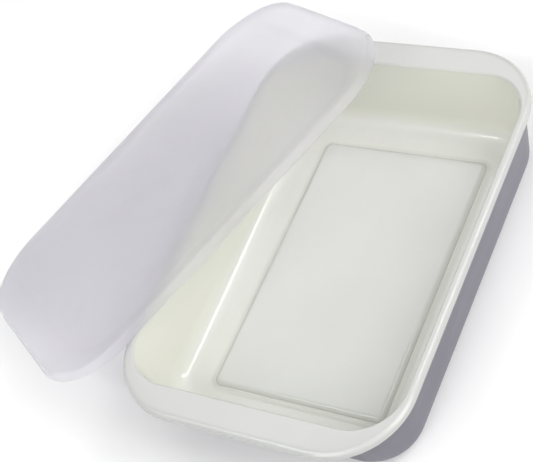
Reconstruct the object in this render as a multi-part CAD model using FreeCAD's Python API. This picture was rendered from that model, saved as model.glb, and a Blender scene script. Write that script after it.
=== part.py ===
"""Wet palette: an outer case, an inner mixing tray, a sponge, a palette sheet and a shallow lid.

Units are millimetres. The origin is the centre of the case's underside, on the table. X runs across
the palette, Y along it and Z up. The lid lies askew: it leans on the tray's left rim, with its
lowest corner near the table.
"""
import FreeCAD
import Part
import math
import os

# Tray rim, the widest outline of the palette
RIM_HALF_X = 90.7
RIM_HALF_Y = 139.6
RIM_CORNER = 46.3
RIM_TOP = 55.0
RIM_SHEET = 1.5
LIP_DEPTH = 5.2
LIP_WALL = 1.3
RIM_OUTER_ROUND = 2.8
RIM_INNER_ROUND = 1.8

# Outer case: size of its outside at the table and at its top edge
CASE_BASE_HALF_X = 82.2
CASE_BASE_HALF_Y = 117.8
CASE_BASE_CORNER = 28.3
CASE_TOP_HALF_X = 88.3
CASE_TOP_HALF_Y = 123.3
CASE_TOP_CORNER = 31.3
CASE_WALL = 1.2
CASE_FOOT_ROUND = 16.0
CASE_EDGE_ROUND = 0.4
GROOVE_DEPTH = 0.5
GROOVE_WIDTH = 2.4
GROOVE_INSET = 22.0

# Clearance between pieces that lift apart
GAP = 0.3
STACK_GAP = 0.2

# Inner tray wall and the raised platform in its floor
TRAY_WALL = 1.0
TRAY_SIDE_GAP = 0.4
PLATFORM_RISE = 0.8
PLATFORM_FLANK = 2.4
PLATFORM_LEDGE = 1.1

# Palette sheet and sponge
SHEET_HALF_X = 56.4
SHEET_HALF_Y = 92.0
SHEET_CORNER = 5.0
SHEET_THICKNESS = 0.25
SPONGE_THICKNESS = 1.6
SPONGE_INSET = 0.5
SPONGE_ROUND = 0.4

# Lid
LID_SHEET = 1.0
LID_TOP_GROWTH = 0.9
LID_SKIRT_GROWTH = 2.6
LID_SKIRT = 5.6
LID_EDGE_ROUND = 1.5
LID_RECESS = 1.2
LID_RECESS_HALF_X = 84.3
LID_RECESS_HALF_Y = 119.2
LID_RECESS_CORNER = 27.5
LID_RECESS_DRAFT = 1.6

# How the lid lies: turned on the table, leaning to the left, far end up
LID_TURN = -28.4
LID_LEAN = -18.9
LID_NOSE = 8.0
LID_CENTRE_X = -122.1
LID_CENTRE_Y = 20.7
LID_TABLE_GAP = 0.3

OUTPUT_FOLDER = "parts"


def rounded_rectangle(half_x, half_y, corner, z):
    """Closed wire: a rectangle with four quarter-circle corners, at height z."""
    edges = []
    straight_x = half_x - corner
    straight_y = half_y - corner
    centres = [(straight_x, straight_y), (-straight_x, straight_y)]
    centres += [(-straight_x, -straight_y), (straight_x, -straight_y)]
    for quarter, (centre_x, centre_y) in enumerate(centres):
        points = []
        for step in range(3):
            angle = math.pi / 2 * quarter + math.pi / 4 * step
            x = centre_x + corner * math.cos(angle)
            y = centre_y + corner * math.sin(angle)
            points.append(FreeCAD.Vector(x, y, z))
        if edges:
            edges.append(Part.LineSegment(last_point, points[0]).toShape())
        else:
            first_point = points[0]
        edges.append(Part.Arc(points[0], points[1], points[2]).toShape())
        last_point = points[2]
    edges.append(Part.LineSegment(last_point, first_point).toShape())
    return Part.Wire(edges)


def block(low, high):
    """Solid between two rounded rectangles, each (half_x, half_y, corner, z)."""
    return Part.makeLoft([rounded_rectangle(*low), rounded_rectangle(*high)], True, True)


def grown(outline, growth, z):
    """The outline (half_x, half_y, corner) moved outwards by growth, at height z."""
    half_x, half_y, corner = outline[:3]
    return (half_x + growth, half_y + growth, corner + growth, z)


def edges_at(shape, z, tolerance=0.01):
    """Edges that lie whole at height z."""
    found = []
    for edge in shape.Edges:
        box = edge.BoundBox
        if abs(box.ZMin - z) < tolerance and abs(box.ZMax - z) < tolerance:
            found.append(edge)
    return found


def rounded_block(low, high, bottom_round):
    """Tapered block with its bottom edge rounded."""
    solid = block(low, high)
    return solid.makeFillet(bottom_round, edges_at(solid, low[3]))


CASE_BASE = (CASE_BASE_HALF_X, CASE_BASE_HALF_Y, CASE_BASE_CORNER)
CASE_TOP = (CASE_TOP_HALF_X, CASE_TOP_HALF_Y, CASE_TOP_CORNER)
RIM = (RIM_HALF_X, RIM_HALF_Y, RIM_CORNER)
SHEET = (SHEET_HALF_X, SHEET_HALF_Y, SHEET_CORNER)
RECESS = (LID_RECESS_HALF_X, LID_RECESS_HALF_Y, LID_RECESS_CORNER)

CASE_HEIGHT = RIM_TOP - RIM_SHEET - GAP
TRAY_BASE = CASE_WALL + GAP
TRAY_FLOOR = TRAY_BASE + TRAY_WALL
PLATFORM_TOP = TRAY_FLOOR + PLATFORM_RISE
SPONGE_BASE = PLATFORM_TOP + STACK_GAP
SHEET_BASE = SPONGE_BASE + SPONGE_THICKNESS + STACK_GAP


def wall_outline(inset, z):
    """Outline of a surface that lies inset from the outside of the case, at height z."""
    share = z / CASE_HEIGHT
    sizes = [low + (high - low) * share for low, high in zip(CASE_BASE, CASE_TOP)]
    return grown(sizes, -inset, z)


def wall_block(inset, bottom, top):
    """Tapered block whose side lies inset from the outside of the case, with a round foot."""
    foot_round = CASE_FOOT_ROUND - inset
    return rounded_block(wall_outline(inset, bottom), wall_outline(inset, top), foot_round)


def outer_case():
    """Tapered tub that the tray drops into, with a shallow groove round its underside."""
    tub = wall_block(0.0, 0.0, CASE_HEIGHT)
    tub = tub.cut(wall_block(CASE_WALL, CASE_WALL, CASE_HEIGHT + 1.0))
    groove_outer = grown(CASE_BASE, -GROOVE_INSET, 0.0)
    groove_inner = grown(CASE_BASE, -GROOVE_INSET - GROOVE_WIDTH, 0.0)
    groove = block(groove_outer, groove_outer[:3] + (GROOVE_DEPTH,))
    groove = groove.cut(block(groove_inner, groove_inner[:3] + (GROOVE_DEPTH,)))
    tub = tub.cut(groove)
    return tub.makeFillet(CASE_EDGE_ROUND, edges_at(tub, CASE_HEIGHT))


def platform(z, rise, growth):
    """Low block with sloping flanks under the sponge."""
    foot = grown(SHEET, PLATFORM_LEDGE + PLATFORM_FLANK + growth, z)
    crown = grown(SHEET, PLATFORM_LEDGE + growth, z + rise)
    return block(foot, crown)


def inner_tray():
    """Deep tray with a rolled rim, wide flanges at both ends and a raised platform in its floor."""
    outside = CASE_WALL + TRAY_SIDE_GAP
    tray = wall_block(outside, TRAY_BASE, RIM_TOP - RIM_SHEET / 2)
    rim = block(RIM + (RIM_TOP - LIP_DEPTH,), RIM + (RIM_TOP,))
    under = block(grown(RIM, -LIP_WALL, RIM_TOP - LIP_DEPTH), grown(RIM, -LIP_WALL, RIM_TOP - RIM_SHEET))
    tray = tray.fuse(rim.cut(under))
    tray = tray.cut(wall_block(outside + TRAY_WALL, TRAY_FLOOR, RIM_TOP + 1.0))
    tray = tray.fuse(platform(TRAY_FLOOR - 0.1, PLATFORM_RISE + 0.1, 0.0))
    tray = tray.cut(platform(TRAY_BASE, PLATFORM_RISE, -TRAY_WALL))
    tray = tray.removeSplitter()
    top_edges = edges_at(tray, RIM_TOP)
    outer_edges = [edge for edge in top_edges if on_outline(edge, RIM)]
    inner_edges = [edge for edge in top_edges if not on_outline(edge, RIM)]
    tray = tray.makeFillet(RIM_OUTER_ROUND, outer_edges)
    inner_edges = [edge for edge in edges_at(tray, RIM_TOP) if matches(edge, inner_edges)]
    return tray.makeFillet(RIM_INNER_ROUND, inner_edges)


def on_outline(edge, outline):
    """True if the edge's middle is on the rounded rectangle (half_x, half_y, corner)."""
    middle = edge.valueAt((edge.FirstParameter + edge.LastParameter) / 2)
    wire = rounded_rectangle(*outline, middle.z)
    return wire.distToShape(Part.Vertex(middle))[0] < 0.01


def matches(edge, others):
    """True if one of the other edges has the same centre of mass."""
    return any(edge.CenterOfMass.distanceToPoint(other.CenterOfMass) < 0.01 for other in others)


def sponge():
    """Thin sponge that holds the water, a little smaller than the sheet."""
    outline = grown(SHEET, -SPONGE_INSET, SPONGE_BASE)
    pad = block(outline, outline[:3] + (SPONGE_BASE + SPONGE_THICKNESS,))
    return pad.makeFillet(SPONGE_ROUND, edges_at(pad, SPONGE_BASE + SPONGE_THICKNESS))


def palette_sheet():
    """Thin sheet that the paint is mixed on."""
    return block(SHEET + (SHEET_BASE,), SHEET + (SHEET_BASE + SHEET_THICKNESS,))


def lid_shell():
    """Lid in its own frame: top at height zero, skirt downwards, centre panel recessed."""
    shell = block(grown(RIM, LID_SKIRT_GROWTH, -LID_SKIRT), grown(RIM, LID_TOP_GROWTH, 0.0))
    shell = shell.makeFillet(LID_EDGE_ROUND, edges_at(shell, 0.0))
    slope = (LID_SKIRT_GROWTH - LID_TOP_GROWTH) / LID_SKIRT
    mouth = grown(RIM, LID_SKIRT_GROWTH - LID_SHEET, -LID_SKIRT)
    roof = grown(RIM, LID_TOP_GROWTH + slope * LID_SHEET - LID_SHEET, -LID_SHEET)
    hollow = block(mouth, roof)
    hollow = hollow.makeFillet(LID_EDGE_ROUND - LID_SHEET, edges_at(hollow, -LID_SHEET))
    shell = shell.cut(hollow)
    depth = LID_RECESS
    tub_foot = grown(RECESS, LID_SHEET - LID_RECESS_DRAFT, -depth - LID_SHEET)
    tub_mouth = grown(RECESS, LID_SHEET, -LID_SHEET / 2)
    shell = shell.fuse(block(tub_foot, tub_mouth))
    recess = block(grown(RECESS, -LID_RECESS_DRAFT, -depth), RECESS + (0.0,))
    return shell.cut(recess).removeSplitter()


def lid():
    """The lid where it lies: leaning on the left rim, its lowest corner just above the table."""
    shell = lid_shell()
    turn = FreeCAD.Rotation(LID_TURN, LID_LEAN, LID_NOSE)
    shell.Placement = FreeCAD.Placement(FreeCAD.Vector(LID_CENTRE_X, LID_CENTRE_Y, 0.0), turn)
    drop = LID_TABLE_GAP - shell.optimalBoundingBox(False).ZMin
    shell.translate(FreeCAD.Vector(0.0, 0.0, drop))
    return shell


PIECES = {
    "outer_case": outer_case,
    "inner_tray": inner_tray,
    "sponge": sponge,
    "palette_sheet": palette_sheet,
    "lid": lid,
}


def main():
    """Write one STEP file per piece."""
    os.makedirs(OUTPUT_FOLDER, exist_ok=True)
    for name, make in PIECES.items():
        make().exportStep(os.path.join(OUTPUT_FOLDER, name + ".step"))


main()
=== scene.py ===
import math

import bmesh
import bpy
import numpy as np
from bpy.props import FloatProperty, FloatVectorProperty, PointerProperty
from bpy.types import Operator, Panel, PropertyGroup
from mathutils import Euler, Matrix, Vector


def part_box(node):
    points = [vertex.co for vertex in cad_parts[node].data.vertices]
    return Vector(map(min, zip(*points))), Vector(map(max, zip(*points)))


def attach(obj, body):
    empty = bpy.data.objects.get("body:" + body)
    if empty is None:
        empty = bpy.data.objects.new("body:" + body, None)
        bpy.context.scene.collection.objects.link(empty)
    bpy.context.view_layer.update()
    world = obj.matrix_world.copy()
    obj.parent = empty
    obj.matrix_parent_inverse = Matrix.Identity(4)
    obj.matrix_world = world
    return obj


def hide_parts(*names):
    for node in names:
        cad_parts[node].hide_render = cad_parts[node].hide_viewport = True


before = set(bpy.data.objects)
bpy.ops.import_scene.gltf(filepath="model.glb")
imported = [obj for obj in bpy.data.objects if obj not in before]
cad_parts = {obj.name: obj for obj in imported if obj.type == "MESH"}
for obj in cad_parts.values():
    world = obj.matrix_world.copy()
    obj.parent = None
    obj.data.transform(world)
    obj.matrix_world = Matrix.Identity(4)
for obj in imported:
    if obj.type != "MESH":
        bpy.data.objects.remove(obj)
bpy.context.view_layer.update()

bl_info = {
    "name": "Wet Palette",
    "version": (1, 0, 0),
    "blender": (4, 5, 0),
    "location": "3D View > Sidebar > Wet Palette",
    "description": "Builds a wet palette: case, mixing tray, sponge, palette sheet and lid",
    "category": "Add Mesh",
}

MM = 0.001

# What the frame says: the lowest and highest corners of each piece, at rest
TRAY_LOW, TRAY_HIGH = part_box("inner_tray")
CASE_LOW, CASE_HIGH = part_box("outer_case")
SHEET_LOW, SHEET_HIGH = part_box("palette_sheet")
SPONGE_LOW, SPONGE_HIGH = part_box("sponge")
LID_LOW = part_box("lid")[0]

# Directions in a station (half width, half length, corner radius, height)
OUT = np.array([1.0, 1.0, 1.0, 0.0])
UP = np.array([0.0, 0.0, 0.0, 1.0])

# Points nearer than this are one point
WELD = 0.002 * MM

# Steps of the rings that every moulding is made of
ARC_STEPS = 16
LONG_STEPS = 26
SHORT_STEPS = 18


# ---------------------------------------------------------------------------
# Sizes and colours
# ---------------------------------------------------------------------------


def length(name, description, millimetres):
    """A length property whose default is given in millimetres."""
    default = millimetres * MM
    return FloatProperty(name=name, description=description, default=default, unit="LENGTH")


def angle(name, description, degrees):
    """An angle property whose default is given in degrees."""
    return FloatProperty(
        name=name, description=description, default=math.radians(degrees), subtype="ANGLE"
    )


def colour(name, description, red, green, blue):
    """A colour property."""
    default = (red, green, blue)
    return FloatVectorProperty(
        name=name, description=description, default=default, subtype="COLOR", min=0, max=1
    )


class WetPaletteTraySizes(PropertyGroup):
    rim_corner: length("Rim corner", "Corner radius of the rim's outer edge", 46.3)
    rim_sheet: length("Rim thickness", "Thickness of the flange", 1.5)
    lip_depth: length("Lip depth", "How far the rim's edge is turned down", 5.2)
    lip_wall: length("Lip wall", "Thickness of the turned-down edge", 1.3)
    outer_round: length("Outer rounding", "Radius on the rim's outer edge", 2.8)
    inner_round: length("Inner rounding", "Radius where the flange turns down into the tray", 1.8)
    wall: length("Wall", "Thickness of the tray's wall", 1.0)
    side_gap: length("Side gap", "Clearance between the tray and the case", 0.4)
    platform_rise: length("Platform rise", "Height of the platform above the channel", 0.8)
    platform_ledge: length("Platform ledge", "How far the platform stands out round the sheet", 1.1)
    platform_flank: length("Platform flank", "Width of the platform's sloping side", 2.4)


class WetPaletteCaseSizes(PropertyGroup):
    base_half_width: length("Base half width", "Half width of the case at the table", 82.2)
    base_half_length: length("Base half length", "Half length of the case at the table", 117.8)
    base_corner: length("Base corner", "Corner radius of the case at the table", 28.3)
    top_half_width: length("Top half width", "Half width of the case at its top edge", 88.3)
    top_half_length: length("Top half length", "Half length of the case at its top edge", 123.3)
    top_corner: length("Top corner", "Corner radius of the case at its top edge", 31.3)
    wall: length("Wall", "Thickness of the case's wall", 1.2)
    foot_round: length("Foot rounding", "Radius where the wall turns into the underside", 16.0)
    groove_inset: length("Groove inset", "How far the underside's groove lies from the wall", 22.0)
    groove_width: length("Groove width", "Width of the underside's groove", 2.4)
    groove_depth: length("Groove depth", "Depth of the underside's groove", 0.5)


class WetPaletteLidSizes(PropertyGroup):
    sheet: length("Thickness", "Thickness of the lid", 1.0)
    top_growth: length("Top growth", "How far the lid's top edge stands out past the rim", 0.9)
    skirt_growth: length("Skirt growth", "How far the skirt's foot stands out past the rim", 2.6)
    skirt: length("Skirt", "Height of the lid's skirt", 5.6)
    edge_round: length("Edge rounding", "Radius on the lid's top edge", 1.5)
    recess: length("Recess", "Depth of the centre panel", 1.2)
    recess_half_width: length("Recess half width", "Half width of the centre panel", 84.3)
    recess_half_length: length("Recess half length", "Half length of the centre panel", 119.2)
    recess_corner: length("Recess corner", "Corner radius of the centre panel", 27.5)
    recess_draft: length("Recess draft", "How far the recess's side leans in", 1.6)
    turn: angle("Turn", "How far the lid is turned on the tray", -28.4)
    lean: angle("Lean", "How far the lid leans to the left", -18.9)
    nose: angle("Nose", "How far the lid's far end is raised", 8.0)
    centre_x: length("Centre X", "Where the lid's centre lies across the palette", -122.1)
    centre_y: length("Centre Y", "Where the lid's centre lies along the palette", 20.7)


class WetPaletteSoftSizes(PropertyGroup):
    sheet_corner: length("Sheet corner", "Corner radius of the palette sheet", 5.0)
    sheet_cockle: length("Sheet cockle", "How far the damp sheet waves", 0.05)
    sheet_droop: length("Sheet droop", "How far the damp sheet's edge bends down", 1.8)
    droop_width: length("Droop width", "Width of the border that bends down", 3.0)
    sponge_corner: length("Sponge corner", "Corner radius of the sponge", 4.5)
    sponge_round: length("Sponge rounding", "Radius on the sponge's edges", 0.78)
    sponge_swell: length("Sponge swell", "How far the sponge's top is uneven", 0.07)


class WetPaletteColours(PropertyGroup):
    tray_wall: colour("Tray wall", "Glossy ivory plastic of the tray's walls", 0.68, 0.687, 0.615)
    # Painted shade: the rim is the walls' plastic painted darker and cooler
    tray_rim: colour("Tray rim", "The tray's rim, cooler than its walls", 0.50, 0.505, 0.495)
    # Painted light: the floor is the walls' plastic painted paler
    tray_floor: colour("Tray floor", "The tray's floor, paler than its walls", 0.70, 0.705, 0.67)
    case: colour("Case", "Lavender-grey plastic of the outer case", 0.140, 0.135, 0.163)
    lid: colour("Lid", "Frosted plastic of the lid", 0.872, 0.864, 0.895)
    sheet: colour("Sheet", "Coated palette sheet", 0.595, 0.602, 0.58)
    sponge: colour("Sponge", "Wet sponge", 0.80, 0.80, 0.74)
    floor: colour("Floor", "Pale studio floor", 0.9, 0.9, 0.9)


class WetPaletteView(PropertyGroup):
    heading: angle("Heading", "Turn of the view from straight along the palette", 48.739)
    elevation: angle("Elevation", "How steeply the view looks down", 48.706)
    roll: angle("Roll", "Turn of the camera about its own line of sight", 30.761)
    distance: length("Distance", "From the camera to the point it looks at", 876.5)
    aim_x: length("Aim X", "Point that the camera looks at, across the palette", -70.0)
    aim_y: length("Aim Y", "Point that the camera looks at, along the palette", 18.3)
    aim_z: length("Aim Z", "Point that the camera looks at, above the table", 3.2)
    lens: FloatProperty(name="Lens", description="Focal length in millimetres", default=92.83)


# ---------------------------------------------------------------------------
# Surfaces made of rounded-rectangle rings
# ---------------------------------------------------------------------------


def ring_weights():
    """Weights that turn a rounded rectangle's sizes into the points of its ring.

    Each corner is a quarter circle of ARC_STEPS steps about a centre that lies one radius in from
    both sides, and each side is the straight run between two such arcs. A point's X is half width
    times weight 0 plus corner radius times weight 1, and its Y is half length times weight 2 plus
    corner radius times weight 3, going anticlockwise.
    """
    quarters = []
    for quarter, (sign_x, sign_y) in enumerate([(1, 1), (-1, 1), (-1, -1), (1, -1)]):
        turn = math.pi / 2 * (quarter + np.linspace(0, 1, ARC_STEPS + 1))
        flat = np.ones(ARC_STEPS + 1)
        arc = [sign_x * flat, np.cos(turn) - sign_x, sign_y * flat, np.sin(turn) - sign_y]
        quarters.append(np.stack(arc, axis=1))
    runs = []
    for quarter in range(4):
        start = quarters[quarter]
        finish = quarters[(quarter + 1) % 4]
        steps = SHORT_STEPS if quarter % 2 == 0 else LONG_STEPS
        share = np.linspace(0, 1, steps + 1)[1:-1, None]
        runs.append(start)
        runs.append(start[-1] * (1 - share) + finish[0] * share)
    return np.concatenate(runs)


RING = ring_weights()


def station(half_width, half_length, corner, height):
    """One ring: its half sizes, its corner radius and its height."""
    return np.array([half_width, half_length, corner, height], dtype=float)


def blend_rings(start, finish, steps):
    """Rings spaced evenly from start to finish, both included, each size in a straight line."""
    share = np.linspace(0, 1, steps + 1)[:, None]
    return start * (1 - share) + finish * share


def arc_rings(centre, radius, start, finish, steps):
    """Rings along a circle about centre in the plane of outward offset and height.

    At angle a a ring stands radius times cos(a) further out and radius times sin(a) higher than
    the centre ring; angles are in degrees.
    """
    turn = np.radians(np.linspace(start, finish, steps + 1))[:, None]
    return centre + radius * (np.cos(turn) * OUT + np.sin(turn) * UP)


def foot_inset(radius, draft, turn):
    """How far a fillet of that radius lies inside a leaning wall.

    The fillet is tangent to a flat floor at turn 0 and to a wall that leans outwards by draft; at
    turn a the inset is radius times (1 / cos(draft) - cos(a) tan(draft) - sin(a)), and the fillet
    stands radius times (1 - cos(a)) above the floor.
    """
    return radius * (1 / math.cos(draft) - np.cos(turn) * math.tan(draft) - np.sin(turn))


def ring_points(stations):
    """Points of all rings, ring by ring: the stations' sizes times the ring weights."""
    x = stations[:, 0:1] * RING[:, 0] + stations[:, 2:3] * RING[:, 1]
    y = stations[:, 1:2] * RING[:, 2] + stations[:, 2:3] * RING[:, 3]
    z = np.broadcast_to(stations[:, 3:4], x.shape)
    return np.stack([x, y, z], axis=2)


def ring_faces(ring_count):
    """Four-sided faces between neighbouring rings, as rows of point numbers."""
    around = np.arange(len(RING))
    ahead = np.roll(around, -1)
    base = np.arange(ring_count - 1)[:, None] * len(RING)
    corners = [base + around, base + len(RING) + around, base + len(RING) + ahead, base + ahead]
    return np.stack(corners, axis=2).reshape(-1, 4)


def link_mesh(name, points, quads, caps):
    """A new smooth-shaded object from points, four-sided faces and two closing faces."""
    mesh = bpy.data.meshes.new(name)
    faces = quads.tolist() + [cap.tolist() for cap in caps]
    mesh.from_pydata(points.reshape(-1, 3).tolist(), [], faces)
    mesh.polygons.foreach_set("use_smooth", np.ones(len(faces), dtype=bool))
    mesh.update()
    piece = bpy.data.objects.new(name, mesh)
    bpy.context.scene.collection.objects.link(piece)
    return piece


def ring_piece(name, stations, move=None):
    """A closed moulding: rings from the middle of its top, over its edge, to the middle below.

    The first and last rings are closed with a face each. move, if given, takes the points as an
    array and returns them shifted.
    """
    stations = np.asarray(stations)
    points = ring_points(stations)
    if move is not None:
        points = move(points)
    last = (len(stations) - 1) * len(RING)
    caps = [np.arange(len(RING)), np.arange(last + len(RING) - 1, last - 1, -1)]
    return link_mesh(name, points, ring_faces(len(stations)), caps)


def weld(piece):
    """Merges the points that fall together where a ring is a plain circle.

    A circle's straight runs have no length, so their points lie on each other and the faces
    between them have no area. Merging leaves only faces with an area.
    """
    shell = bmesh.new()
    shell.from_mesh(piece.data)
    bmesh.ops.remove_doubles(shell, verts=shell.verts, dist=WELD)
    shell.to_mesh(piece.data)
    shell.free()


def finish_piece(piece, node, body, material):
    """Gives a piece its material and its places in the frame."""
    weld(piece)
    piece.data.materials.append(material)
    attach(piece, body)
    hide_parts(node)


# ---------------------------------------------------------------------------
# Shader groups shared by the materials
# ---------------------------------------------------------------------------


def map_range(tree, value, low, high, to_low=0.0, to_high=1.0):
    """Limits a value to low..high and eases it over to_low..to_high."""
    node = tree.nodes.new("ShaderNodeMapRange")
    node.interpolation_type = "SMOOTHSTEP"
    tree.links.new(value, node.inputs["Value"])
    node.inputs["From Min"].default_value = low
    node.inputs["From Max"].default_value = high
    node.inputs["To Min"].default_value = to_low
    node.inputs["To Max"].default_value = to_high
    return node.outputs["Result"]


def math_node(tree, operation, first, second):
    """A maths node of two values, each a socket or a number."""
    node = tree.nodes.new("ShaderNodeMath")
    node.operation = operation
    for index, value in enumerate((first, second)):
        if isinstance(value, (int, float)):
            node.inputs[index].default_value = value
        else:
            tree.links.new(value, node.inputs[index])
    return node.outputs[0]


def noise(tree, vector, scale, detail=2.0, roughness=0.5):
    """A noise texture's value at vector; scale is a socket or a number per metre."""
    node = tree.nodes.new("ShaderNodeTexNoise")
    tree.links.new(vector, node.inputs["Vector"])
    if isinstance(scale, (int, float)):
        node.inputs["Scale"].default_value = scale
    else:
        tree.links.new(scale, node.inputs["Scale"])
    node.inputs["Detail"].default_value = detail
    node.inputs["Roughness"].default_value = roughness
    return node.outputs["Fac"]


def stretched(tree, vector, scale, turn):
    """The vector stretched by scale and turned by turn, for streaks that run one way."""
    node = tree.nodes.new("ShaderNodeMapping")
    tree.links.new(vector, node.inputs["Vector"])
    node.inputs["Scale"].default_value = scale
    node.inputs["Rotation"].default_value = turn
    return node.outputs["Vector"]


def new_group(name, inputs, outputs):
    """An empty shader group with a Vector input, further value inputs and value outputs."""
    group = bpy.data.node_groups.new(name, "ShaderNodeTree")
    group.interface.new_socket(name="Vector", in_out="INPUT", socket_type="NodeSocketVector")
    number = "NodeSocketFloat"
    for label, default in inputs:
        socket = group.interface.new_socket(name=label, in_out="INPUT", socket_type=number)
        socket.default_value = default
    for label in outputs:
        group.interface.new_socket(name=label, in_out="OUTPUT", socket_type=number)
    return group, group.nodes.new("NodeGroupInput"), group.nodes.new("NodeGroupOutput")


def moulded_group():
    """Moulded plastic: a fine skin texture, slow cloudiness and soft flow lines from the gate."""
    inputs = [("Grain Scale", 900.0), ("Cloud Scale", 14.0)]
    group, entry, leave = new_group("Moulded Skin", inputs, ["Grain", "Cloud", "Flow", "Wave"])
    vector = entry.outputs["Vector"]
    grain = noise(group, vector, entry.outputs["Grain Scale"], 3.0, 0.6)
    cloud = noise(group, vector, entry.outputs["Cloud Scale"], 3.0, 0.55)
    streak = noise(group, stretched(group, vector, (60.0, 6.0, 30.0), (0, 0, 0.2)), 1.0, 2.0)
    group.links.new(grain, leave.inputs["Grain"])
    group.links.new(cloud, leave.inputs["Wave"])
    group.links.new(map_range(group, cloud, 0.3, 0.7), leave.inputs["Cloud"])
    group.links.new(map_range(group, streak, 0.35, 0.65), leave.inputs["Flow"])
    return group


def marks_group():
    """Handling marks: two sets of hair scratches that cross, and soft finger smudges."""
    inputs = [("Amount", 0.5)]
    group, entry, leave = new_group("Handling Marks", inputs, ["Scratches", "Smudges"])
    vector = entry.outputs["Vector"]
    sets = []
    for turn, scale in ((0.5, (9.0, 420.0, 160.0)), (-0.9, (7.0, 360.0, 140.0))):
        lines = noise(group, stretched(group, vector, scale, (0.1, 0.2, turn)), 1.0, 2.0, 0.6)
        sets.append(map_range(group, lines, 0.66, 0.74))
    both = math_node(group, "MAXIMUM", sets[0], sets[1])
    patches = map_range(group, noise(group, vector, 22.0, 2.0), 0.45, 0.65)
    scratches = math_node(group, "MULTIPLY", both, patches)
    scratches = math_node(group, "MULTIPLY", scratches, entry.outputs["Amount"])
    smudges = map_range(group, noise(group, vector, 35.0, 4.0, 0.65), 0.52, 0.75)
    smudges = math_node(group, "MULTIPLY", smudges, entry.outputs["Amount"])
    group.links.new(scratches, leave.inputs["Scratches"])
    group.links.new(smudges, leave.inputs["Smudges"])
    return group


def specks_group():
    """Dust: small round specks, thinned out by a slow noise."""
    inputs = [("Speck Scale", 260.0)]
    group, entry, leave = new_group("Dust Specks", inputs, ["Specks"])
    vector = entry.outputs["Vector"]
    cells = group.nodes.new("ShaderNodeTexVoronoi")
    group.links.new(vector, cells.inputs["Vector"])
    group.links.new(entry.outputs["Speck Scale"], cells.inputs["Scale"])
    dots = map_range(group, cells.outputs["Distance"], 0.02, 0.09, 1.0, 0.0)
    few = map_range(group, noise(group, vector, 60.0, 2.0), 0.56, 0.62)
    group.links.new(math_node(group, "MULTIPLY", dots, few), leave.inputs["Specks"])
    return group


def shared_group(name):
    """The shared shader group of that name, built the first time it is asked for."""
    makers = {
        "Moulded Skin": moulded_group,
        "Handling Marks": marks_group,
        "Dust Specks": specks_group,
    }
    return bpy.data.node_groups.get(name) or makers[name]()


class Finish:
    """A material under construction: its tree, its Principled shader and its object coordinates."""

    def __init__(self, name):
        self.material = bpy.data.materials.new(name)
        self.material.use_nodes = True
        self.tree = self.material.node_tree
        self.shader = self.tree.nodes["Principled BSDF"]
        self.place = self.tree.nodes.new("ShaderNodeTexCoord").outputs["Object"]

    def group(self, name, **values):
        """Places a shared group, with its own values."""
        node = self.tree.nodes.new("ShaderNodeGroup")
        node.node_tree = shared_group(name)
        self.tree.links.new(self.place, node.inputs["Vector"])
        for key, value in values.items():
            node.inputs[key.replace("_", " ").title()].default_value = value
        return node

    def set(self, **values):
        """Sets plain values on the shader's own sockets."""
        for key, value in values.items():
            self.shader.inputs[key.replace("_", " ")].default_value = value

    def tint(self, first, second, amount):
        """A colour mixed from two by a value that changes over the surface."""
        node = self.tree.nodes.new("ShaderNodeMix")
        node.data_type = "RGBA"
        self.tree.links.new(amount, node.inputs["Factor"])
        for socket, value in ((node.inputs["A"], first), (node.inputs["B"], second)):
            if isinstance(value, tuple):
                socket.default_value = value
            else:
                self.tree.links.new(value, socket)
        return node.outputs["Result"]

    def link(self, value, socket):
        """Feeds a value to one of the shader's sockets."""
        self.tree.links.new(value, self.shader.inputs[socket])

    def bump(self, layers):
        """Chains bump nodes; layers are (height value, depth in metres)."""
        normal = None
        for height, depth in layers:
            node = self.tree.nodes.new("ShaderNodeBump")
            node.inputs["Strength"].default_value = 1.0
            node.inputs["Distance"].default_value = depth
            self.tree.links.new(height, node.inputs["Height"])
            if normal is not None:
                self.tree.links.new(normal, node.inputs["Normal"])
            normal = node.outputs["Normal"]
        self.link(normal, "Normal")


def shade(base, factor, red=1.0, green=1.0, blue=1.0):
    """The colour times a factor, and a factor for each channel, as red, green, blue, alpha."""
    channels = [channel * factor * each for channel, each in zip(base, (red, green, blue))]
    return (*[min(channel, 1.0) for channel in channels], 1.0)


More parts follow.
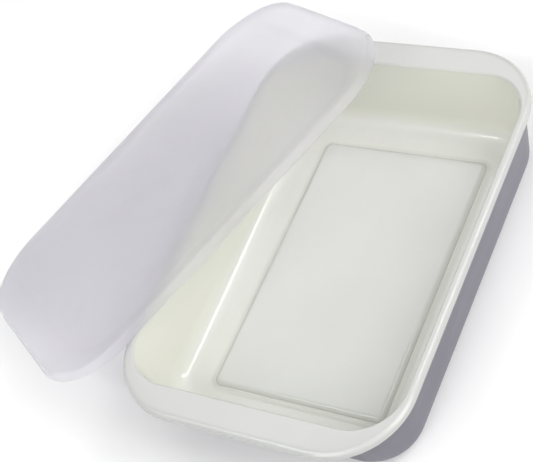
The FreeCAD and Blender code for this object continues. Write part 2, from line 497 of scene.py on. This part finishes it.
def tray_finish(wall, rim, floor):
    """Glossy moulded plastic: ivory walls, a floor painted paler (painted light), a rim painted
    darker and cooler (painted shade), and a lip painted greyer still (painted shade).

    The floor's painted light goes by height, and the rim's painted shade by the tray's own
    attribute. Over them lie slow cloudiness, dust and hair scratches.
    """
    finish = Finish("tray_plastic")
    tree = finish.tree
    skin = finish.group("Moulded Skin", grain_scale=1100.0, cloud_scale=11.0)
    marks = finish.group("Handling Marks", amount=0.5)
    specks = finish.group("Dust Specks", speck_scale=240.0)
    split = tree.nodes.new("ShaderNodeSeparateXYZ")
    tree.links.new(finish.place, split.inputs["Vector"])
    # Painted light: the floor is painted paler, fading out by 12 mm up the wall
    low = map_range(tree, split.outputs["Z"], 3.2 * MM, 12.0 * MM, 1.0, 0.0)
    on_painted_rim_shade = tree.nodes.new("ShaderNodeAttribute")
    on_painted_rim_shade.attribute_name = "painted_rim_shade"
    on_painted_rim_shade = on_painted_rim_shade.outputs["Fac"]
    tone = finish.tint(shade(wall, 1.0), shade(floor, 1.0), low)
    # Painted shade: the flange and its lip take the rim's darker, cooler colour
    tone = finish.tint(tone, shade(rim, 1.0), on_painted_rim_shade)
    # Painted shade: the turned-down lip is painted darker still than the flange
    lip, flange = TRAY_HIGH.z - 2.4 * MM, TRAY_HIGH.z - 0.5 * MM
    turned_down = map_range(tree, split.outputs["Z"], lip, flange, 1.0, 0.0)
    painted_lip_shade = math_node(tree, "MULTIPLY", turned_down, on_painted_rim_shade)
    tone = finish.tint(tone, shade(rim, 0.82), painted_lip_shade)
    cloud = math_node(tree, "MULTIPLY", skin.outputs["Cloud"], 0.12)
    dust = math_node(tree, "MULTIPLY", specks.outputs["Specks"], 0.5)
    cloudy = finish.tint(tone, shade(wall, 0.9), cloud)
    dusty = finish.tint(cloudy, shade(wall, 0.85), dust)
    finish.link(dusty, "Base Color")
    rough = map_range(tree, skin.outputs["Flow"], 0.0, 1.0, 0.10, 0.14)
    worn = math_node(tree, "MULTIPLY", marks.outputs["Scratches"], 0.5)
    finish.link(math_node(tree, "MAXIMUM", rough, worn), "Roughness")
    finish.set(IOR=1.5)
    finish.bump([(skin.outputs["Wave"], 0.00012), (skin.outputs["Grain"], 0.000002)])
    return finish.material


def case_finish(base):
    """Satin lavender-grey plastic with a fine spark-eroded grain."""
    finish = Finish("case_plastic")
    skin = finish.group("Moulded Skin", grain_scale=2600.0, cloud_scale=16.0)
    marks = finish.group("Handling Marks", amount=0.6)
    cloudy = finish.tint(shade(base, 1.03), shade(base, 0.95), skin.outputs["Cloud"])
    worn = finish.tint(cloudy, shade(base, 1.25), marks.outputs["Scratches"])
    finish.link(worn, "Base Color")
    rough = map_range(finish.tree, skin.outputs["Flow"], 0.0, 1.0, 0.38, 0.46)
    finish.link(rough, "Roughness")
    finish.set(IOR=1.48)
    finish.bump([(skin.outputs["Wave"], 0.00012), (skin.outputs["Grain"], 0.000012)])
    return finish.material


def lid_finish(base):
    """Frosted translucent plastic with a fine matt grain, faint flow lines and finger smudges."""
    finish = Finish("lid_plastic")
    skin = finish.group("Moulded Skin", grain_scale=2200.0, cloud_scale=9.0)
    marks = finish.group("Handling Marks", amount=0.5)
    cloudy = finish.tint(shade(base, 1.0), shade(base, 0.965), skin.outputs["Cloud"])
    smudged = finish.tint(cloudy, shade(base, 0.93, blue=0.98), marks.outputs["Smudges"])
    finish.link(smudged, "Base Color")
    rough = map_range(finish.tree, marks.outputs["Smudges"], 0.0, 1.0, 0.58, 0.52)
    finish.link(rough, "Roughness")
    finish.set(IOR=1.13, Transmission_Weight=0.93)
    finish.set(Coat_Weight=0.6, Coat_Roughness=0.3, Coat_IOR=1.5)
    finish.bump([(skin.outputs["Wave"], 0.0001), (skin.outputs["Grain"], 0.000006)])
    return finish.material


def sheet_finish(base):
    """Smooth coated palette paper, damp, with a trace of fibre and a soft sheen."""
    finish = Finish("sheet_paper")
    skin = finish.group("Moulded Skin", grain_scale=1500.0, cloud_scale=18.0)
    lengthways = stretched(finish.tree, finish.place, (900.0, 260.0, 900.0), (0, 0, 0.4))
    fibres = noise(finish.tree, lengthways, 1.0, 4.0, 0.65)
    damp = finish.tint(shade(base, 1.0), shade(base, 0.98, blue=0.985), skin.outputs["Cloud"])
    flecked = finish.tint(damp, shade(base, 0.97), map_range(finish.tree, fibres, 0.5, 0.8))
    finish.link(flecked, "Base Color")
    finish.link(map_range(finish.tree, skin.outputs["Cloud"], 0.0, 1.0, 0.13, 0.18), "Roughness")
    finish.set(IOR=1.45)
    finish.bump([(skin.outputs["Wave"], 0.0001), (fibres, 0.000003)])
    return finish.material


def sponge_finish(base):
    """Wet open-cell sponge: pores painted dark as painted shade in the holes, in a pale web."""
    finish = Finish("sponge_foam")
    tree = finish.tree
    webs = []
    for scale in (520.0, 1250.0):
        cells = tree.nodes.new("ShaderNodeTexVoronoi")
        cells.feature = "DISTANCE_TO_EDGE"
        cells.inputs["Scale"].default_value = scale
        tree.links.new(finish.place, cells.inputs["Vector"])
        webs.append(map_range(tree, cells.outputs["Distance"], 0.06, 0.3, 1.0, 0.0))
    web = math_node(tree, "MAXIMUM", webs[0], webs[1])
    skin = finish.group("Moulded Skin", grain_scale=700.0, cloud_scale=20.0)
    # Painted shade: the pores between the web's cells are painted darker
    painted_pore_shade = finish.tint(shade(base, 0.62), shade(base, 1.0), web)
    damp = finish.tint(painted_pore_shade, shade(base, 0.85), skin.outputs["Cloud"])
    finish.link(damp, "Base Color")
    finish.link(map_range(tree, web, 0.0, 1.0, 0.75, 0.5), "Roughness")
    finish.bump([(web, 0.00025)])
    return finish.material


def floor_finish(base):
    """Plain pale paper sweep."""
    finish = Finish("studio_paper")
    mottle = noise(finish.tree, finish.place, 30.0, 3.0)
    tone = finish.tint(shade(base, 1.0), shade(base, 0.995), mottle)
    finish.link(tone, "Base Color")
    finish.set(Roughness=0.9)
    return finish.material


# ---------------------------------------------------------------------------
# Operators, one for each piece
# ---------------------------------------------------------------------------


def palette_settings(context):
    """The scene's own settings of the palette."""
    return context.scene.wet_palette


def wall_ring(case, inset, height):
    """Ring of a surface that lies inset from the case's outside, at a height above the table."""
    share = height / (CASE_HIGH.z - CASE_LOW.z)
    base = station(case.base_half_width, case.base_half_length, case.base_corner, 0.0)
    top = station(case.top_half_width, case.top_half_length, case.top_corner, 0.0)
    return base + (top - base) * share - inset * OUT + height * UP


def wall_draft(case):
    """How far the case's wall leans outwards, as an angle."""
    return math.atan2(case.top_half_width - case.base_half_width, CASE_HIGH.z - CASE_LOW.z)


def foot_rings(case, inset, floor, steps):
    """Rings of the round foot of a wall, from the floor up to the straight wall."""
    radius = case.foot_round - inset
    draft = wall_draft(case)
    turns = np.linspace(0, math.pi / 2 - draft, steps + 1)
    rings = []
    for turn, deeper in zip(turns, foot_inset(radius, draft, turns)):
        rings.append(wall_ring(case, inset + deeper, floor + radius * (1 - math.cos(turn))))
    return np.array(rings)


def wall_rings(case, inset, low, high, steps):
    """Rings up a straight leaning wall."""
    heights = np.linspace(low, high, steps + 1)
    return np.array([wall_ring(case, inset, height) for height in heights])


def middle(height, radius=3 * MM):
    """Small round ring at the centre of a flat face."""
    return station(radius, radius, radius, height)


def gate_rings(height):
    """Rings of the moulding's injection gate, seen from below: a dimple with a small pip in it."""
    radii = np.array([4.0, 3.6, 3.2, 1.5, 1.2, 0.9, 0.5]) * MM
    depths = np.array([0.0, 0.06, 0.2, 0.22, 0.14, 0.12, 0.12]) * MM
    return np.array([middle(height + depth, radius) for radius, depth in zip(radii, depths)])


def case_rings(case):
    """The case's rings: inner floor and wall, top edge, outer wall, foot, grooved underside."""
    top = CASE_HIGH.z
    edge = 0.4 * MM
    floor = case.wall
    inner_foot = foot_rings(case, case.wall, floor, 14)
    outer_foot = foot_rings(case, 0.0, 0.0, 16)[::-1]
    base = station(case.base_half_width, case.base_half_length, case.base_corner, 0.0)
    groove_out = base - case.groove_inset * OUT
    groove_in = groove_out - case.groove_width * OUT
    soft = 0.25 * MM
    depth = case.groove_depth
    return np.concatenate([
        blend_rings(middle(floor), inner_foot[0], 12)[:-1],
        inner_foot,
        wall_rings(case, case.wall, inner_foot[-1][3], top - edge, 8)[1:-1],
        arc_rings(wall_ring(case, case.wall - edge, top - edge), edge, 180, 90, 5),
        arc_rings(wall_ring(case, edge, top - edge), edge, 90, 0, 5),
        wall_rings(case, 0.0, outer_foot[0][3], top - edge, 8)[::-1][1:-1],
        outer_foot,
        blend_rings(outer_foot[-1], groove_out + soft * OUT, 3)[1:],
        arc_rings(groove_out + soft * OUT + soft * UP, soft, 270, 180, 3)[1:],
        [groove_out + (depth - 0.1 * MM) * UP, groove_out - 0.1 * MM * OUT + depth * UP],
        [groove_in + 0.1 * MM * OUT + depth * UP, groove_in + (depth - 0.1 * MM) * UP],
        arc_rings(groove_in - soft * OUT + soft * UP, soft, 0, -90, 3),
        blend_rings(groove_in - soft * OUT, middle(0.0, 4.0 * MM), 12)[1:-1],
        gate_rings(0.0),
    ])


class WETPALETTE_OT_case(Operator):
    """Builds the outer case: a tapered tub with a rounded foot and a grooved underside."""

    bl_idname = "wetpalette.case"
    bl_label = "Outer Case"

    def execute(self, context):
        settings = palette_settings(context)
        piece = ring_piece("case_shell", case_rings(settings.case))
        material = case_finish(settings.colours.case)
        finish_piece(piece, "outer_case", "case", material)
        return {"FINISHED"}


def platform_rings(tray, soft, height, growth):
    """The platform's crown and foot rings, on a floor at a height, the outline grown by growth."""
    sheet = station(SHEET_HIGH.x, SHEET_HIGH.y, soft.sheet_corner, height)
    crown = sheet + (tray.platform_ledge + growth) * OUT + tray.platform_rise * UP
    foot = sheet + (tray.platform_ledge + tray.platform_flank + growth) * OUT
    return crown, foot


def tray_rings(case, tray, soft):
    """The tray's rings: platform, channel, wall, flange, lip, and back under to the middle."""
    outside = case.wall + tray.side_gap
    inside = outside + tray.wall
    base = TRAY_LOW.z
    floor = base + tray.wall
    top = TRAY_HIGH.z
    draft = wall_draft(case)
    rim = station(TRAY_HIGH.x, TRAY_HIGH.y, tray.rim_corner, top)
    crown, foot = platform_rings(tray, soft, floor, 0.0)
    low_crown, low_foot = platform_rings(tray, soft, base, -tray.wall)
    ease = 0.35 * MM
    inner_foot = foot_rings(case, inside, floor, 16)
    outer_foot = foot_rings(case, outside, base, 14)[::-1]
    roll = tray.inner_round
    roll_centre = wall_ring(case, inside - roll / math.cos(draft), top - roll)
    rim_centre = rim - tray.outer_round * (OUT + UP)
    under = top - tray.rim_sheet
    lip_foot = top - tray.lip_depth
    nib = 0.4 * MM
    lip_out = rim - nib * OUT + (lip_foot + nib - top) * UP
    lip_in = rim - (tray.lip_wall - nib) * OUT + (lip_foot + nib - top) * UP
    tuck = 0.5 * MM
    lip_root = rim - (tray.lip_wall + tuck) * OUT + (under - tuck - top) * UP
    shoulder = 1.2 * MM
    wall_root = wall_ring(case, outside - shoulder, under - shoulder)
    return np.concatenate([
        blend_rings(middle(crown[3]), crown - ease * OUT, 14)[:-1],
        arc_rings(crown - ease * (OUT + UP), ease, 90, 25, 4),
        blend_rings(crown - 0.6 * ease * UP, foot + 0.2 * ease * UP, 4)[2:-1],
        [foot + 0.3 * ease * OUT + 0.03 * ease * UP, foot + 1.2 * ease * OUT],
        blend_rings(foot + 2.5 * ease * OUT, inner_foot[0], 5)[:-1],
        inner_foot,
        wall_rings(case, inside, inner_foot[-1][3], top - roll, 9)[1:-1],
        [wall_ring(case, inside, top - roll - 0.3 * MM)],
        arc_rings(roll_centre, roll, 180 - math.degrees(draft), 90, 8),
        blend_rings(roll_centre + roll * UP, rim_centre + tray.outer_round * UP, 8)[1:-1],
        arc_rings(rim_centre, tray.outer_round, 90, 0, 9),
        arc_rings(lip_out, nib, 0, -90, 4),
        arc_rings(lip_in, nib, -90, -180, 4),
        arc_rings(lip_root, tuck, 0, 90, 4),
        blend_rings(lip_root + tuck * UP, wall_root + shoulder * UP, 8)[1:-1],
        arc_rings(wall_root, shoulder, 90, 180, 5),
        wall_rings(case, outside, outer_foot[0][3], under - shoulder, 8)[::-1][1:-1],
        outer_foot,
        blend_rings(outer_foot[-1], low_foot + 0.5 * MM * OUT, 4)[1:],
        blend_rings(low_foot, low_crown, 3),
        blend_rings(low_crown - 0.5 * MM * OUT, middle(low_crown[3], 4.0 * MM), 12)[:-1],
        gate_rings(low_crown[3]),
    ])


def painted_rim_shade(rings, tray):
    """1 on the rings of the flange and its lip, where the rim's painted shade goes, 0 on the walls
    and the floor.

    Outwards from the first ring at the full height it is 1 as long as a ring lies no lower than
    the lip's depth below it. Before that it rises from 0 to 1 with the height of a ring over the
    inner rounding's radius.
    """
    below = rings[:, 3].max() - rings[:, 3]
    outward = np.arange(len(rings)) >= np.argmin(below)
    rising = np.clip(1 - below / tray.inner_round, 0, 1)
    return np.where(outward, below < tray.lip_depth + 0.1 * MM, rising)


class WETPALETTE_OT_tray(Operator):
    """Builds the mixing tray: platform, channel, sloping walls, wide end flanges and lip."""

    bl_idname = "wetpalette.tray"
    bl_label = "Mixing Tray"

    def execute(self, context):
        settings = palette_settings(context)
        rings = tray_rings(settings.case, settings.tray, settings.soft)
        piece = ring_piece("tray_shell", rings)
        # This attribute carries where the rim's painted shade goes
        tone = np.repeat(painted_rim_shade(rings, settings.tray), len(RING))
        piece.data.attributes.new("painted_rim_shade", "FLOAT", "POINT").data.foreach_set("value", tone)
        colours = settings.colours
        material = tray_finish(colours.tray_wall, colours.tray_rim, colours.tray_floor)
        finish_piece(piece, "inner_tray", "tray", material)
        return {"FINISHED"}


def pad_rings(half_width, half_length, corner, low, high, edge, border):
    """Rings of a flat pad with rounded edges: top face, edge, bottom face.

    The border, of the width given, has closer rings than the middle.
    """
    top_edge = station(half_width - edge, half_length - edge, corner - edge, high - edge)
    low_edge = station(half_width - edge, half_length - edge, corner - edge, low + edge)
    top, below = top_edge + edge * UP, low_edge - edge * UP
    top_border, low_border = top - border * OUT, below - border * OUT
    return np.concatenate([
        blend_rings(middle(high), top_border, 34)[:-1],
        blend_rings(top_border, top, 12)[:-1],
        arc_rings(top_edge, edge, 90, 0, 5),
        arc_rings(low_edge, edge, 0, -90, 5),
        blend_rings(below, low_border, 12)[1:],
        blend_rings(low_border, middle(low), 34)[1:],
    ])


def border_fall(soft, x, y):
    """How far the damp sheet's border bends down at x, y.

    It is the droop times (1 - distance from the edge / border's width) to the power 1.5, where
    the distance is measured to the sheet's rounded rectangle.
    """
    half = np.array([SHEET_HIGH.x, SHEET_HIGH.y])
    corner = np.maximum(np.abs(np.stack([x, y])) - (half - soft.sheet_corner)[:, None, None], 0.0)
    inner = np.minimum(half[0] - np.abs(x), half[1] - np.abs(y))
    inset = np.where(corner.min(axis=0) > 0, soft.sheet_corner - np.hypot(*corner), inner)
    return soft.sheet_droop * np.clip(1 - inset / soft.droop_width, 0, 1) ** 1.5


def sponge_swell(soft):
    """A shift that makes the sponge's top uneven and presses its border down under the sheet's.

    The top is lowered by the swell times 1 plus the mean of four crossing sine waves, 7 to 24 mm
    long, and by the fall of the sheet's border there. A point lower down moves in proportion to
    its height.
    """
    # Radians per metre across and along, and where each wave starts
    waves = [(250.0, 90.0, 0.3), (-140.0, 310.0, 1.9), (520.0, -410.0, 4.0), (640.0, 700.0, 2.2)]

    def move(points):
        x, y, z = points[..., 0], points[..., 1], points[..., 2]
        height = sum(np.sin(across * x + along * y + phase) for across, along, phase in waves)
        share = (z - SPONGE_LOW.z) / (SPONGE_HIGH.z - SPONGE_LOW.z)
        lowered = soft.sponge_swell * (1 + height / len(waves)) + border_fall(soft, x, y)
        lifted = z - share * lowered
        return np.stack([x, y, lifted], axis=-1)

    return move


class WETPALETTE_OT_sponge(Operator):
    """Builds the thin wet sponge that lies on the platform."""

    bl_idname = "wetpalette.sponge"
    bl_label = "Sponge"

    def execute(self, context):
        settings = palette_settings(context)
        soft = settings.soft
        rings = pad_rings(
            SPONGE_HIGH.x, SPONGE_HIGH.y, soft.sponge_corner,
            SPONGE_LOW.z, SPONGE_HIGH.z, soft.sponge_round, 3 * MM,
        )
        piece = ring_piece("sponge_pad", rings, sponge_swell(soft))
        material = sponge_finish(settings.colours.sponge)
        finish_piece(piece, "sponge", "sponge", material)
        return {"FINISHED"}


def sheet_wave(soft):
    """A shift that cockles the damp sheet a little and bends its border down over the sponge.

    The cockle is its amount times (a product of two slow sine waves - 1) / 2, and times the
    square of a point's share of the way to the edge. The border's fall is taken off the height.
    """

    def move(points):
        x, y, z = points[..., 0], points[..., 1], points[..., 2]
        across, along = x / SHEET_HIGH.x, y / SHEET_HIGH.y
        wave = np.sin(9.0 * across + 2.0 * along) * np.sin(7.0 * along - 3.0 * across + 0.6)
        near_edge = np.maximum(np.abs(across), np.abs(along))
        lifted = z + soft.sheet_cockle * (wave - 1) / 2 * near_edge**2 - border_fall(soft, x, y)
        return np.stack([x, y, lifted], axis=-1)

    return move


class WETPALETTE_OT_sheet(Operator):
    """Builds the palette sheet, cockled a little by the damp, its border bent down."""

    bl_idname = "wetpalette.sheet"
    bl_label = "Palette Sheet"

    def execute(self, context):
        settings = palette_settings(context)
        soft = settings.soft
        # A little under half the thickness, so that a narrow flat is left on the edge
        edge = (SHEET_HIGH.z - SHEET_LOW.z) / 2.2
        rings = pad_rings(
            SHEET_HIGH.x, SHEET_HIGH.y, soft.sheet_corner, SHEET_LOW.z, SHEET_HIGH.z, edge, 3 * MM,
        )
        piece = ring_piece("palette_paper", rings, sheet_wave(soft))
        material = sheet_finish(settings.colours.sheet)
        finish_piece(piece, "palette_sheet", "sheet", material)
        return {"FINISHED"}


def eased_rings(start, finish, steps):
    """Rings from start to finish whose height eases in and out.

    The outline goes in a straight line, and the height by (1 - cos(pi times the share)) / 2.
    """
    share = np.linspace(0, 1, steps + 1)[:, None]
    rings = start + (finish - start) * share
    eased = (1 - np.cos(math.pi * share)) / 2
    rings[:, 3:] = start[3] + (finish[3] - start[3]) * eased
    return rings


def lid_rings(tray, lid):
    """The lid's rings in its own frame: recessed panel, band, flared skirt, and back beneath."""
    rim = station(TRAY_HIGH.x, TRAY_HIGH.y, tray.rim_corner, 0.0)
    recess = station(lid.recess_half_width, lid.recess_half_length, lid.recess_corner, 0.0)
    round_out, thick = lid.edge_round, lid.sheet
    slope = (lid.skirt_growth - lid.top_growth) / lid.skirt
    flare = math.degrees(math.atan(slope))
    top_edge = rim + (lid.top_growth - round_out * 0.85) * OUT - round_out * UP
    skirt_top = top_edge + round_out * (math.cos(math.radians(flare)) * OUT)
    skirt_foot = rim + lid.skirt_growth * OUT - lid.skirt * UP
    nib = 0.3 * MM
    # The recess's side eases out this far into the panel and into the band
    blend = 4.0 * MM
    step_in = recess - (lid.recess_draft + blend) * OUT - lid.recess * UP
    step_out = recess + blend * OUT
    beneath = 0.3 * thick * OUT - thick * UP
    inner_round = round_out - thick
    return np.concatenate([
        blend_rings(middle(-lid.recess), step_in, 16)[:-1],
        eased_rings(step_in, step_out, 10),
        blend_rings(step_out, top_edge + round_out * UP, 6)[1:-1],
        arc_rings(top_edge, round_out, 90, flare, 8),
        blend_rings(skirt_top, skirt_foot, 5)[1:-1],
        arc_rings(skirt_foot - nib * (OUT - UP), nib, 0, -90, 3),
        arc_rings(skirt_foot - (thick - nib) * OUT + nib * UP, nib, -90, -180, 3),
        blend_rings(skirt_foot - thick * OUT + nib * UP, top_edge + inner_round * OUT, 5)[1:-1],
        arc_rings(top_edge, inner_round, 0, 90, 4),
        blend_rings(top_edge + inner_round * UP, step_out + beneath, 6)[1:-1],
        eased_rings(step_out + beneath, step_in + beneath, 10),
        blend_rings(step_in + beneath, middle(-lid.recess - thick, 4.0 * MM), 16)[1:-1],
        gate_rings(-lid.recess - thick),
    ])


def lid_place(lid):
    """A shift that lays the lid: nose up, leaned, turned, and down to the frame's lowest point.

    The points are turned about X by the nose, Y by the lean and Z by the turn, then moved to the
    lid's centre, and in height so that the lowest lies where the frame has it.
    """
    turned = np.array(Euler((lid.nose, lid.lean, lid.turn), "XYZ").to_matrix())

    def move(points):
        laid = points @ turned.T
        laid[..., 0] += lid.centre_x
        laid[..., 1] += lid.centre_y
        laid[..., 2] += LID_LOW.z - laid[..., 2].min()
        return laid

    return move


class WETPALETTE_OT_lid(Operator):
    """Builds the frosted lid and leans it over the tray's left rim."""

    bl_idname = "wetpalette.lid"
    bl_label = "Lid"

    def execute(self, context):
        settings = palette_settings(context)
        rings = lid_rings(settings.tray, settings.lid)
        piece = ring_piece("lid_shell", rings, lid_place(settings.lid))
        finish_piece(piece, "lid", "lid", lid_finish(settings.colours.lid))
        return {"FINISHED"}


# ---------------------------------------------------------------------------
# The stage
# ---------------------------------------------------------------------------


# Brightness of the white surround
SURROUND = 0.18

# Soft square panels round the palette: their distance and side in metres, and each one's
# heading and height in degrees and power in watts
PANEL_DISTANCE = 2.0
PANEL_SIDE = 1.0
SOFT_PANELS = [
    (0, 18, 14.5), (45, 18, 1.5), (135, 18, 3.2), (180, 18, 1.6), (270, 18, 10.5),
    (0, 48, 13.5), (45, 48, 5.0), (135, 48, 5.8), (225, 48, 3.5), (270, 48, 10.0),
    (0, 80, 3.2),
]

# Narrow strips that draw the highlights: place, direction of the long side, size in metres,
# power in watts
STRIPS = {
    "strip_right": ((0.766, 0.509, 0.847), (0.576, 0.47, -0.667), (0.7, 0.05), 2.3),
    "strip_left": ((-0.43, -0.70, 1.12), (1.0, 0.0, 0.0), (0.5, 0.05), 1.8),
}

# The floor's inner and outer radius, and its height, in metres
FLOOR_MIDDLE = 0.05
FLOOR_EDGE = 4.0
FLOOR_HEIGHT = -0.0003


def compass(turn, rise):
    """Direction at a heading, anticlockwise from +X, and a height above the horizon, in degrees."""
    turn, rise = math.radians(turn), math.radians(rise)
    return (math.cos(rise) * math.cos(turn), math.cos(rise) * math.sin(turn), math.sin(rise))


def area_light(name, place, along, size, power):
    """A soft panel at a place, in metres, facing the palette, its long side along a direction."""
    data = bpy.data.lights.new(name, "AREA")
    data.shape = "RECTANGLE"
    data.size, data.size_y = size
    data.energy = power
    lamp = bpy.data.objects.new(name, data)
    bpy.context.scene.collection.objects.link(lamp)
    away = Vector(place).normalized()
    side = (Vector(along) - away * away.dot(Vector(along))).normalized()
    turned = Matrix((side, away.cross(side), away)).transposed().to_4x4()
    lamp.matrix_world = Matrix.Translation(Vector(place)) @ turned
    return lamp


def make_lights():
    """Soft panels all round, and narrow strips for the highlights on the rounded edges."""
    for turn, rise, power in SOFT_PANELS:
        place = Vector(compass(turn, rise)) * PANEL_DISTANCE
        level = (-place.y, place.x, 0.0)
        area_light(f"panel_{turn}_{rise}", place, level, (PANEL_SIDE, PANEL_SIDE), power)
    for name, (place, along, size, power) in STRIPS.items():
        area_light(name, place, along, size, power)


def make_floor(base):
    """A wide flat floor just under the palette, as a round of rings."""
    radii = np.geomspace(FLOOR_MIDDLE, FLOOR_EDGE, 24)
    rings = np.array([middle(FLOOR_HEIGHT, radius) for radius in radii])
    points = ring_points(rings)
    caps = [np.arange(len(RING))]
    floor = link_mesh("studio_floor", points, ring_faces(len(rings)), caps)
    weld(floor)
    floor.data.materials.append(floor_finish(base))


def make_camera(view):
    """The camera: it looks at the aim point from a heading and an elevation, rolled to one side."""
    heading, dip, roll = view.heading, view.elevation, view.roll
    level = Vector((-math.sin(heading), math.cos(heading), 0.0))
    forward = level * math.cos(dip) + Vector((0.0, 0.0, -math.sin(dip)))
    right = Vector((math.cos(heading), math.sin(heading), 0.0))
    up = right.cross(forward)
    right, up = (
        right * math.cos(roll) - up * math.sin(roll),
        right * math.sin(roll) + up * math.cos(roll),
    )
    data = bpy.data.cameras.new("studio_camera")
    data.lens = view.lens
    data.sensor_width = 36.0
    camera = bpy.data.objects.new("studio_camera", data)
    bpy.context.scene.collection.objects.link(camera)
    turned = Matrix((right, up, -forward)).transposed().to_4x4()
    aim = Vector((view.aim_x, view.aim_y, view.aim_z))
    camera.matrix_world = Matrix.Translation(aim - forward * view.distance) @ turned
    bpy.context.scene.camera = camera


def make_world(strength):
    """An even white surround."""
    world = bpy.data.worlds.new("studio_world")
    world.use_nodes = True
    surround = world.node_tree.nodes["Background"]
    surround.inputs["Color"].default_value = (1.0, 1.0, 1.0, 1.0)
    surround.inputs["Strength"].default_value = strength
    bpy.context.scene.world = world


class WETPALETTE_OT_stage(Operator):
    """Sets the pale floor, the soft lights and the camera."""

    bl_idname = "wetpalette.stage"
    bl_label = "Stage"

    def execute(self, context):
        settings = palette_settings(context)
        make_floor(settings.colours.floor)
        make_world(SURROUND)
        make_lights()
        make_camera(settings.view)
        context.scene.view_settings.view_transform = "Standard"
        return {"FINISHED"}


# ---------------------------------------------------------------------------
# Add-on
# ---------------------------------------------------------------------------


def sizes(group, name, description):
    """A pointer to one of the groups of settings."""
    return PointerProperty(type=group, name=name, description=description)


class WetPaletteSettings(PropertyGroup):
    tray: sizes(WetPaletteTraySizes, "Tray", "Sizes of the tray")
    case: sizes(WetPaletteCaseSizes, "Case", "Sizes of the case")
    lid: sizes(WetPaletteLidSizes, "Lid", "Sizes of the lid")
    soft: sizes(WetPaletteSoftSizes, "Soft", "Sizes of the soft pieces")
    colours: sizes(WetPaletteColours, "Colours", "Colours of the pieces and the floor")
    view: sizes(WetPaletteView, "View", "Where the camera stands")


OPERATORS = (
    WETPALETTE_OT_case,
    WETPALETTE_OT_tray,
    WETPALETTE_OT_sponge,
    WETPALETTE_OT_sheet,
    WETPALETTE_OT_lid,
    WETPALETTE_OT_stage,
)


class WETPALETTE_PT_panel(Panel):
    """Lists the palette's pieces in the sidebar."""

    bl_idname = "WETPALETTE_PT_panel"
    bl_label = "Wet Palette"
    bl_space_type = "VIEW_3D"
    bl_region_type = "UI"
    bl_category = "Wet Palette"

    def draw(self, context):
        for operator in OPERATORS:
            self.layout.operator(operator.bl_idname)
        for part in palette_settings(context).bl_rna.properties:
            if part.type == "POINTER" and part.identifier != "rna_type":
                box = self.layout.box()
                box.label(text=part.name)
                group = getattr(palette_settings(context), part.identifier)
                for value in group.bl_rna.properties:
                    if value.identifier not in ("rna_type", "name"):
                        box.prop(group, value.identifier)


CLASSES = (
    WetPaletteTraySizes,
    WetPaletteCaseSizes,
    WetPaletteLidSizes,
    WetPaletteSoftSizes,
    WetPaletteColours,
    WetPaletteView,
    WetPaletteSettings,
    *OPERATORS,
    WETPALETTE_PT_panel,
)


def register():
    for each in CLASSES:
        bpy.utils.register_class(each)
    bpy.types.Scene.wet_palette = PointerProperty(
        type=WetPaletteSettings, name="Wet Palette", description="Settings of the wet palette"
    )


def unregister():
    del bpy.types.Scene.wet_palette
    for each in reversed(CLASSES):
        bpy.utils.unregister_class(each)


def main():
    """Builds every piece and the stage."""
    register()
    bpy.ops.wetpalette.case()
    bpy.ops.wetpalette.tray()
    bpy.ops.wetpalette.sponge()
    bpy.ops.wetpalette.sheet()
    bpy.ops.wetpalette.lid()
    bpy.ops.wetpalette.stage()


if __name__ == "__main__":
    main()
